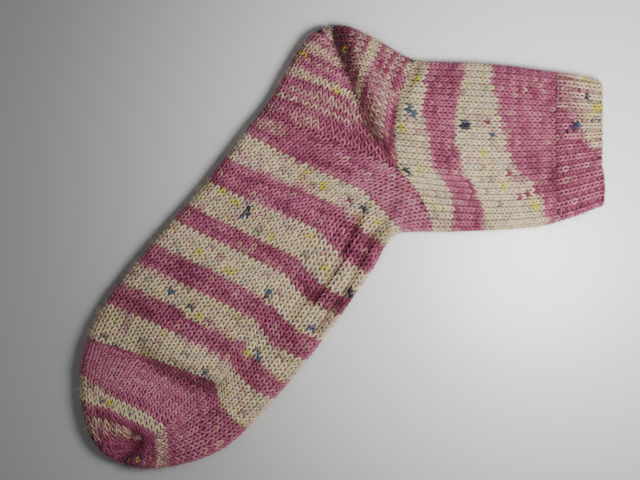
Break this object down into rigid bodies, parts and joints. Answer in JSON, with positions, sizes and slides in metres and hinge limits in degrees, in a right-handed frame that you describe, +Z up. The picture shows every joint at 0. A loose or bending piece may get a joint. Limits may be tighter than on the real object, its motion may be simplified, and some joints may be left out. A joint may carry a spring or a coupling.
{
  "type": "hand-knitted sock",
  "caption": "Hand-knitted ankle sock in striped, speckled yarn, lying flat on its side, with ribbed cuff, short-row heel and rounded grafted toe.",
  "frame": {"origin": "centre of the sock's outline, on the surface it lies on", "axes": "+X along the leg towards the cuff, +Y towards the back of the leg, +Z up out of the surface"},
  "size_m": [0.2736, 0.2307, 0.012],
  "materials": {
    "knitted_yarn": "soft matte sock wool in pink and cream stripes",
    "darned_end": "soft matte sock wool"
  },
  "bodies": {
    "root": {"cast_on_edge": "knitted_yarn", "cuff_ribbing": "knitted_yarn", "leg": "knitted_yarn", "heel_upper": "knitted_yarn", "heel_lower": "knitted_yarn", "instep": "knitted_yarn", "sole": "knitted_yarn", "toe_top": "knitted_yarn", "toe_sole": "knitted_yarn", "toe_graft": "knitted_yarn", "cast_on_tail": "darned_end", "toe_tail": "darned_end"}
  },
  "joints": []
}
